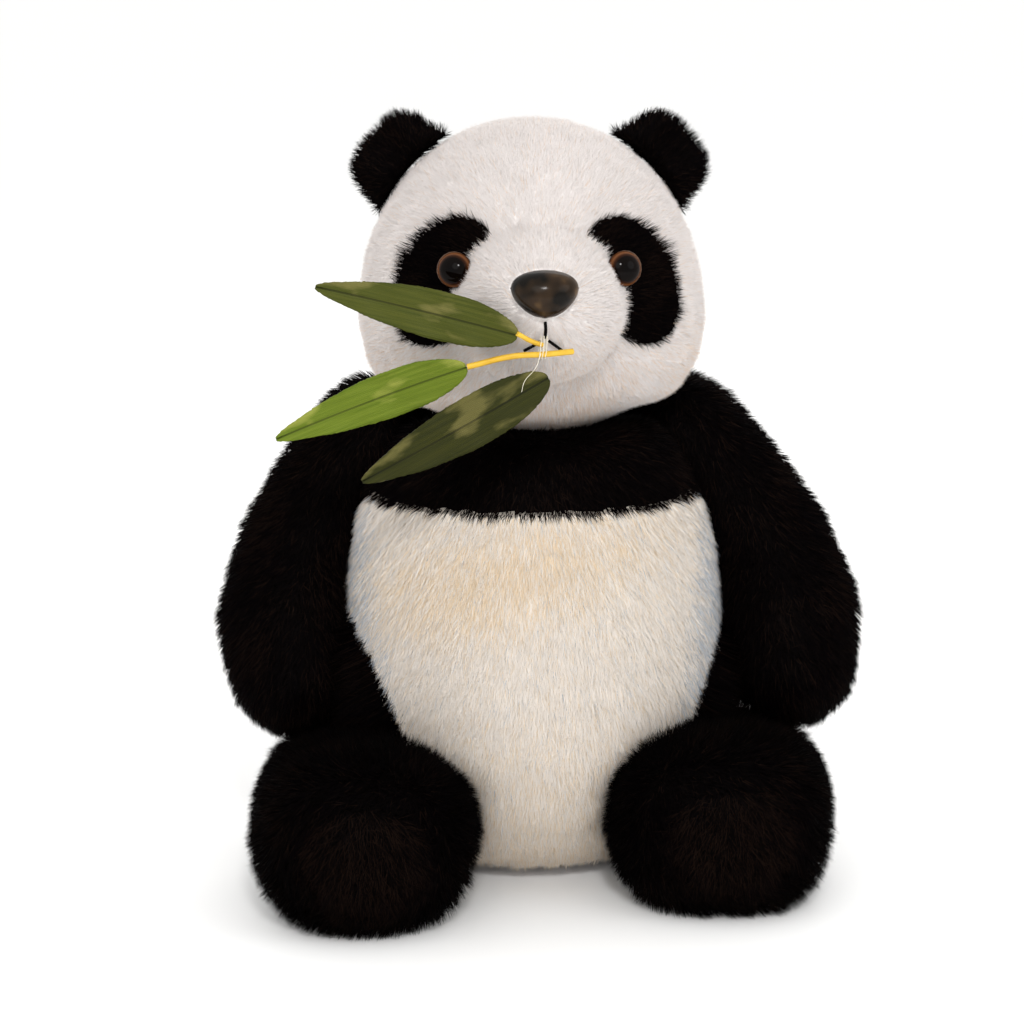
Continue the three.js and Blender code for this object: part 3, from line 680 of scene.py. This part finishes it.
def under_patch(points, side):
    """True for points of the head that an eye patch, or the eye in it, lies over."""
    low, high = (np.array(v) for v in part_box(f"eye_patch_{side}"))
    covered = np.zeros(len(points), bool)
    trees = [tree_of(f"eye_patch_{side}"), tree_of(f"eye_dome_{side}")]
    for i in np.flatnonzero(((points > low - 0.008) & (points < high + 0.008)).all(1)):
        ray = Vector(points[i] - HEAD_CENTRE)
        covered[i] = any(tree.ray_cast(Vector(HEAD_CENTRE), ray)[0] is not None for tree in trees)
    return covered


def panel_of(points, panels, shift=0.0):
    """For each point, the index of its panel. The eye patches take over the head skin beneath
    them. With shift, a point belongs to a patch that lies shift further along its comb."""
    names = list(panels)
    sewn_on = [name for name in names if name.startswith("eye_patch")]
    labels = nearest_panels(points, [name for name in names if name not in sewn_on])
    on_head = labels == 0
    for name in sewn_on:
        comb = panels[name][3]
        ends = points + shift * unit(comb(points))
        labels[on_head & under_patch(ends, name.split("_")[-1])] = names.index(name)
    return labels


def dress(form, body, panels, fills, voxel, puff, rounds):
    """Turns CAD skins into puffed plush panels with their pile.
    panels: node -> (piece, backing, look, comb)."""
    solid, labels = stuffed_body(form, panels, fills, voxel, puff, rounds)
    densest = max(look["density"] for _, _, look, _ in panels.values())
    roots, normals = scattered(solid, densest)
    strand_labels = panel_of(roots, panels, PATCH_SHIFT)
    keep = far_from_face(roots, normals) if body == "head" else np.ones(len(roots), bool)
    for index, (node, (piece_name, backing, look, comb)) in enumerate(panels.items()):
        piece = panel_piece(solid, labels, index, piece_name, backing)
        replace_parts(piece, node)
        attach(piece, body)
        thinned = rng.random(len(roots)) < look["density"] / densest
        mine = keep & (strand_labels == index) & thinned
        here, up = roots[mine], normals[mine]
        shades = shades_of(len(here), look["mix"], BIASES[look["colour"]](here))
        parts = max(1, math.ceil(len(here) / STRANDS_TO_A_PIECE))
        order = np.arange(len(here)) % parts
        for part in range(parts):
            chosen = order == part
            suffix = f"_{part + 1}" if parts > 1 else ""
            pile(piece_name.replace("_plush", "_pile") + suffix, body, here[chosen], up[chosen],
                 comb(here[chosen]), shades[chosen], look)
    bpy.data.objects.remove(solid)


def dress_head():
    panels = {
        "head_skin": ("head_plush", white_backing, SHORT_WHITE, over_the_head),
        "muzzle_skin": ("muzzle_plush", white_backing, MUZZLE_WHITE, away_from(NOSE_BRIDGE)),
    }
    for side in SIDES:
        node = f"eye_patch_{side}"
        panels[node] = (f"{node}_plush", black_backing, SHAGGY, over_the_head)
    dress("head_form", "head", panels, ["head_fill"], 0.0035, 0.0012, 3)


def dress_torso():
    down = downwards(0.3)
    panels = {
        "yoke_skin": ("yoke_plush", black_backing, BLACK, down),
        "tummy_panel": ("tummy_plush", cream_backing, CREAM, down),
        "back_panel": ("back_plush", white_backing, BACK_WHITE, down),
        "seat_panel": ("seat_plush", white_backing, SEAT_WHITE, away_from((0, 0, 0.03))),
    }
    outwards = downwards(1.4)
    for side in SIDES:
        node = f"flank_panel_{side}"
        panels[node] = (f"flank_{side}_plush", black_backing, FLANK, outwards)
    dress("torso_form", "torso", panels, ["torso_fill"], 0.0045, 0.0018, 3)
    tail = {"tail": ("tail_plush", white_backing, BACK_WHITE, away_from((0, 0.06, 0.05)))}
    dress("tail_form", "torso", tail, [], 0.003, 0.001, 2)


def dress_limbs_and_ears():
    for side in SIDES:
        low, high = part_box(f"arm_skin_{side}")
        shoulder = np.array([(low.x + high.x) / 2 * 0.7, 0.02, high.z + 0.03])
        arm = {f"arm_skin_{side}": (f"arm_{side}_plush", black_backing, ARM, away_from(shoulder))}
        dress(f"arm_form_{side}", f"arm_{side}", arm, [f"arm_fill_{side}"], 0.004, 0.002, 3)
        low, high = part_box(f"foot_sole_{side}")
        sole = np.array([(low.x + high.x) / 2, (low.y + high.y) / 2 + 0.01, high.z + 0.01])
        hip = np.array([SIDES[side] * 0.03, 0.03, 0.06])
        leg = {
            f"leg_skin_{side}": (f"leg_{side}_plush", black_backing, LEG, away_from(hip)),
            f"foot_sole_{side}": (f"sole_{side}_plush", black_backing, FOOT, away_from(sole)),
        }
        dress(f"leg_form_{side}", f"leg_{side}", leg, [f"leg_fill_{side}"], 0.004, 0.002, 3)
        root = HEAD_CENTRE + np.array([SIDES[side] * 40, 4, 34]) * MM
        ear = {
            f"ear_front_{side}": (f"ear_front_{side}_plush", black_backing, EAR, away_from(root)),
            f"ear_back_{side}": (f"ear_back_{side}_plush", black_backing, EAR, away_from(root)),
        }
        dress(f"ear_form_{side}", f"ear_{side}", ear, [], 0.0015, 0.0004, 2)


# ---- Face ----

def turned_mesh(name, profile, around=48):
    """A closed mesh turned about Z from (radius, height) points, whose ends lie on the axis."""
    bm = bmesh.new()
    rings = []
    for radius, height in profile:
        if radius < 1e-9:
            rings.append([bm.verts.new((0, 0, height))])
        else:
            angles = [2 * math.pi * k / around for k in range(around)]
            circle = [(radius * math.cos(a), radius * math.sin(a), height) for a in angles]
            rings.append([bm.verts.new(point) for point in circle])
    for lower, upper in zip(rings, rings[1:]):
        for k in range(around):
            corners = [lower[k % len(lower)], lower[(k + 1) % len(lower)],
                       upper[(k + 1) % len(upper)], upper[k % len(upper)]]
            unique = list(dict.fromkeys(corners))
            bm.faces.new(unique)
    bmesh.ops.recalc_face_normals(bm, faces=bm.faces)
    mesh = bpy.data.meshes.new(name)
    bm.to_mesh(mesh)
    bm.free()
    mesh.shade_smooth()
    return mesh


EYE_FACING = Vector((0.3, -0.95, 0.12)).normalized()  # the left eye; the right one mirrors it
EYE_RADIUS = 6.7 * MM
EYE_DOME = 4.9 * MM
EYE_STEPS = 12


def iris_material():
    """Black pupil, then a brown iris ring, the eye's own paint, brightened towards its rim by
    painted glow, under a clear hard coat.
    """
    graph = Graph("iris", (0.01, 0.006, 0.004), 0.06, Specular_IOR_Level=0.07)
    flat = graph.add("ShaderNodeMapping", Scale=(1 / EYE_RADIUS, 1 / EYE_RADIUS, 0))
    graph.join(graph.place, flat.inputs["Vector"])
    length = graph.add("ShaderNodeVectorMath", operation="LENGTH")
    graph.join(flat.outputs["Vector"], length.inputs[0])
    # Painted glow: the brown iris is brightest just inside its rim.
    stops = [
        (0.0, (0.0015, 0.001, 0.001)),
        (0.68, (0.003, 0.0015, 0.001)),
        (0.8, (0.03, 0.01, 0.004)),
        (0.9, (0.15, 0.055, 0.02)),
        (1.0, (0.025, 0.009, 0.004)),
    ]
    graph.join(graph.ramp(length.outputs["Value"], stops), graph.shader.inputs["Base Color"])
    return graph.material


def add_eyes():
    iris = iris_material()
    for side, sign in SIDES.items():
        direction = Vector((sign * EYE_FACING.x, EYE_FACING.y, EYE_FACING.z))
        dome_middle = Vector(middle_of(f"eye_dome_{side}"))
        back = -0.6 * MM
        profile = [(0, back), (EYE_RADIUS * 0.86, back), (EYE_RADIUS, 0)]
        for k in range(1, EYE_STEPS):
            angle = math.pi / 2 * k / EYE_STEPS
            profile.append((EYE_RADIUS * math.cos(angle), EYE_DOME * math.sin(angle)))
        profile.append((0, EYE_DOME))
        mesh = turned_mesh(f"eye_{side}", profile)
        mesh.materials.append(iris)
        eye = new_object(f"eye_{side}", mesh)
        base = dome_middle - direction * EYE_DOME / 2
        turn = direction.to_track_quat("Z", "Y").to_matrix().to_4x4()
        eye.matrix_world = Matrix.Translation(base) @ turn
        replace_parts(eye, f"eye_dome_{side}")
        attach(eye, "head")


def add_nose():
    """A smooth satin button with a fine rim, from the CAD nose's outline, its colour clouded with
    painted bronze reflections.
    """
    low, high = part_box("nose")
    satin = Graph("nose_satin", (0.03, 0.018, 0.012), 0.17, Specular_IOR_Level=0.12)
    # Painted reflection: cloudy bronze patches in the nose's base colour.
    reflection_cloud = satin.noise(85, 2)
    bronze_reflections = [
        (0.38, (0.004, 0.003, 0.002)),
        (0.55, (0.028, 0.016, 0.008)),
        (0.72, (0.13, 0.075, 0.03)),
    ]
    satin.join(satin.ramp(reflection_cloud, bronze_reflections), satin.shader.inputs["Base Color"])
    satin.bump(satin.noise(2500, 2), 0.00004, 0.3)
    body = joined_copy("nose_button", ["nose"])
    remesh = body.modifiers.new("even", "REMESH")
    remesh.mode = "VOXEL"
    remesh.voxel_size = 0.0009
    apply_modifiers(body)
    smoothed(body, 12)
    body.data.shade_smooth()
    body.data.materials.clear()
    body.data.materials.append(satin.material)
    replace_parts(body, "nose")
    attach(body, "head")


# ---- Bamboo sprig ----

SPRIG_ORIGIN = Vector((-4, -93, 218)) * MM
LEAVES = {
    "leaf_upper": {"base": (-6, -1.5, 7), "tip": (-79, 9, 24), "width": 18, "sag": -4},
    "leaf_middle": {"base": (-24.5, -3, -4), "tip": (-94, 4, -31), "width": 17, "sag": -5},
    "leaf_lower": {"base": (5, -3, -8), "tip": (-63, -1, -46), "width": 19, "sag": 3},
}
# Dark, light and pale colour of each leaf; the pale one marks wear that also carries painted glare.
LEAF_COLOURS = {
    "leaf_upper": ("#353d0e", "#50531d", "#777140"),
    "leaf_middle": ("#4d600e", "#6d7c26", "#979a48"),
    "leaf_lower": ("#1e2204", "#34350b", "#6f693a"),
}


def leaf_material(name, dark, light, wear_and_glare):
    """Woven ribbon: fine ribs along it, cross threads, painted shade along the midrib's groove and
    pale patches of wear with painted glare.
    """
    graph = Graph(f"{name}_cloth", linear(dark), 0.4, Specular_IOR_Level=0.12)
    ribs = graph.bands("Y", 480, 1.2)
    threads = graph.bands("X", 650, 0.6)
    weave = graph.add("ShaderNodeMath", operation="MULTIPLY")
    graph.join(ribs, weave.inputs[0])
    graph.join(threads, weave.inputs[1])
    streaks = graph.noise(30, 4, (1, 30, 1))
    tone = graph.ramp(streaks, [(0.2, linear(dark)), (0.8, linear(light))])
    # Pale patches: wear with painted glare.
    wear_and_glare_mask = [(0.55, (0, 0, 0)), (0.66, (0.6, 0.6, 0.6))]
    patches = graph.ramp(graph.noise(46, 3, (1, 2.6, 1)), wear_and_glare_mask)
    blend = graph.add("ShaderNodeMix", data_type="RGBA")
    graph.join(patches, blend.inputs["Factor"])
    graph.join(tone, blend.inputs["A"])
    blend.inputs["B"].default_value = (*linear(wear_and_glare), 1)
    # Painted shade: the colour darkens within half a millimetre of the midrib's groove.
    centre = graph.add("ShaderNodeSeparateXYZ")
    graph.join(graph.place, centre.inputs["Vector"])
    off_rib = graph.add("ShaderNodeMath", operation="ABSOLUTE")
    graph.join(centre.outputs["Y"], off_rib.inputs[0])
    wide = graph.add("ShaderNodeMath", operation="MULTIPLY")
    graph.join(off_rib.outputs["Value"], wide.inputs[0])
    wide.inputs[1].default_value = 1 / MM
    shadow = graph.ramp(wide.outputs["Value"], [(0.15, (0.45, 0.45, 0.45)), (0.5, (1, 1, 1))])
    ribbed = graph.add("ShaderNodeMix", data_type="RGBA", blend_type="MULTIPLY")
    ribbed.inputs["Factor"].default_value = 1
    graph.join(blend.outputs["Result"], ribbed.inputs["A"])
    graph.join(shadow, ribbed.inputs["B"])
    graph.join(ribbed.outputs["Result"], graph.shader.inputs["Base Color"])
    graph.bump(weave.outputs["Value"], 0.00025, 0.7)
    return graph.material


def add_leaf(name, base, tip, width, sag):
    """A cut ribbon leaf in its own frame: X along it, Y across it and Z out of its face."""
    start = SPRIG_ORIGIN + Vector(base) * MM
    span = (Vector(tip) - Vector(base)) * MM
    along = span.normalized()
    across = Vector((0, -1, 0)).cross(along).normalized()
    face = along.cross(across)
    steps = 110
    lanes = 14
    end_gap = 0.004  # keeps the first and last rows wider than a point
    source = np.random.default_rng(len(name) + int(width))
    verts = []
    for i in range(steps + 1):
        share = end_gap + (1 - 2 * end_gap) * i / steps
        z = 2 * share - 1
        outline = math.sqrt(1 - z * z) * (1.18 - 0.36 * share) * (1 - 0.35 * share ** 3)
        half = outline * width * MM / 2
        fray = source.normal(0, 0.00008, 2)
        for j in range(lanes + 1):
            v = 2 * j / lanes - 1
            edge = v * half + (fray[0] if j == 0 else fray[1] if j == lanes else 0)
            rib = -0.0005 * math.exp(-(v / 0.1) ** 2)
            cup = 0.0009 * v * v * outline
            ripple = 0.0005 * math.sin(26 * share + 2.2 * v) * abs(v)
            height = sag * MM * (1 - z * z) + rib + cup + ripple
            verts.append((share * span.length, edge, height))
    row = lanes + 1
    corners = [i * row + j for i in range(steps) for j in range(lanes)]
    faces = [(k, k + row, k + row + 1, k + 1) for k in corners]
    mesh = bpy.data.meshes.new(f"{name}_cloth")
    mesh.from_pydata(verts, [], faces)
    mesh.shade_smooth()
    mesh.materials.append(leaf_material(name, *LEAF_COLOURS[name]))
    leaf = new_object(f"{name}_cloth", mesh)
    turn = Matrix((along, across, face)).transposed().to_4x4()
    leaf.matrix_world = Matrix.Translation(start) @ turn
    thick = leaf.modifiers.new("thickness", "SOLIDIFY")
    thick.thickness = 0.35 * MM
    thick.offset = 0
    apply_modifiers(leaf)
    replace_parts(leaf, name)
    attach(leaf, "sprig")


def tube(name, points, radius, material, body, resolution=6):
    """A smooth round rod through points, in millimetres from the middle of the sprig."""
    curve = bpy.data.curves.new(name, "CURVE")
    curve.dimensions = "3D"
    curve.bevel_depth = radius
    curve.bevel_resolution = 3
    curve.resolution_u = resolution
    curve.use_fill_caps = True
    spline = curve.splines.new("BEZIER")
    spline.bezier_points.add(len(points) - 1)
    for handle, point in zip(spline.bezier_points, points):
        handle.co = SPRIG_ORIGIN + Vector(point) * MM
        handle.handle_left_type = handle.handle_right_type = "AUTO"
    source = new_object(name, curve)
    mesh = evaluated(source)
    bpy.data.objects.remove(source)
    mesh.materials.clear()
    mesh.materials.append(material)
    mesh.shade_smooth()
    piece = new_object(name, mesh)
    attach(piece, body)
    return piece


def add_sprig():
    for name, leaf in LEAVES.items():
        add_leaf(name, **leaf)
    yellow = mottled_material("stem_coat", linear("#b98d12"), linear("#dcb43c"), 260, 0.4,
                              stretch=(0.3, 1, 1), Specular_IOR_Level=0.3)
    main = [(14, 2.5, 0.5), (4, -1.6, 0.2), (-8, -3, -0.2), (-24.5, -3.2, -3.9)]
    upper = [(3, 1.6, 3), (-1, 0.6, 4.6), (-6.4, -1.7, 7.8)]
    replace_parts(tube("stem_main_coat", main, 1.1 * MM, yellow, "sprig"), "stem_main")
    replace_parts(tube("stem_upper_coat", upper, 0.95 * MM, yellow, "sprig"), "stem_upper")
    nylon = mottled_material("tie_nylon", linear("#cfc7ae"), linear("#efe9d8"), 900, 0.35,
                             Coat_Weight=0.3)
    loops = []
    for k in range(3):
        x = 1.8 + 1.1 * k
        ring = []
        for step in range(11):
            angle = 2 * math.pi * step / 10 + 0.4 * k
            y = -0.4 + 3.9 * math.cos(angle)
            z = 2.3 + 4.3 * math.sin(angle)
            ring.append((x + 0.5 * math.sin(angle), y, z))
        loops.append(tube(f"tie_loop_{k + 1}", ring, 0.13 * MM, nylon, "head"))
    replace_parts(loops[0], "sprig_tie")
    anchor = [(2, 3.2, 4), (3.5, 6, 2), (4.5, 9.5, 0.5)]
    tube("tie_anchor", anchor, 0.13 * MM, nylon, "head")
    end = [(2, -4.4, 1), (0, -6, -4), (-4, -5.6, -9), (-5, -4.6, -13)]
    tube("tie_end", end, 0.1 * MM, nylon, "head")


# ---- Everything else that the frame carries ----

def add_stuffing():
    """The fibre fill, drawn in a little from its CAD solid so that it stays behind the cloth."""
    fibre = mottled_material("fibre_fill", (0.75, 0.75, 0.72), (0.9, 0.9, 0.88), 700, 1.0, 0.001)
    for node in [name for name in nodes if "_fill" in name]:
        body = joined_copy(node.replace("fill", "stuffing"), [node])
        bm = bmesh.new()
        bm.from_mesh(body.data)
        bmesh.ops.remove_doubles(bm, verts=bm.verts, dist=0.05 * MM)
        bm.normal_update()
        for vertex, normal in [(v, v.normal.copy()) for v in bm.verts]:
            vertex.co -= STUFFING_INSET * normal
        bm.to_mesh(body.data)
        bm.free()
        body.data.materials.append(fibre)
        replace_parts(body, node)
        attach(body, body_of(nodes[node])[0])


def dress_hidden_nodes():
    sack = mottled_material("pellet_cloth", (0.5, 0.46, 0.38), (0.66, 0.62, 0.52), 1500, 0.9)
    washer = mottled_material("washer_plastic", (0.66, 0.64, 0.6), (0.74, 0.72, 0.68), 500, 0.45)
    stem = mottled_material("eye_stem_plastic", (0.05, 0.02, 0.01), (0.09, 0.04, 0.015), 400, 0.3)
    thread = mottled_material("stitch_thread", (0.001, 0.001, 0.001), (0.006, 0.005, 0.005), 2600,
                              0.8, 0.0003, Specular_IOR_Level=0.03)
    looks = {
        "bag": sack,
        "washer": washer,
        "eye_stem": stem,
        "stitch": thread,
        "pad": black_backing,
    }
    for name, node in nodes.items():
        for word, material in looks.items():
            if word in name:
                node.data.materials.clear()
                node.data.materials.append(material)
                for slot in node.material_slots:
                    slot.material = material


add_camera()
add_studio()
FIBRES = {name: pile_materials(name) for name in PILE_SHADES}
white_backing = backing_material("white_backing", linear("#e6dfdc"), linear("#f6f2f0"))
cream_backing = backing_material("cream_backing", linear("#e0d5c8"), linear("#f2e9de"))
black_backing = backing_material("black_backing", linear("#030202"), linear("#080505"))

dress_head()
dress_torso()
dress_limbs_and_ears()
add_eyes()
add_nose()
add_sprig()
add_stuffing()
dress_hidden_nodes()
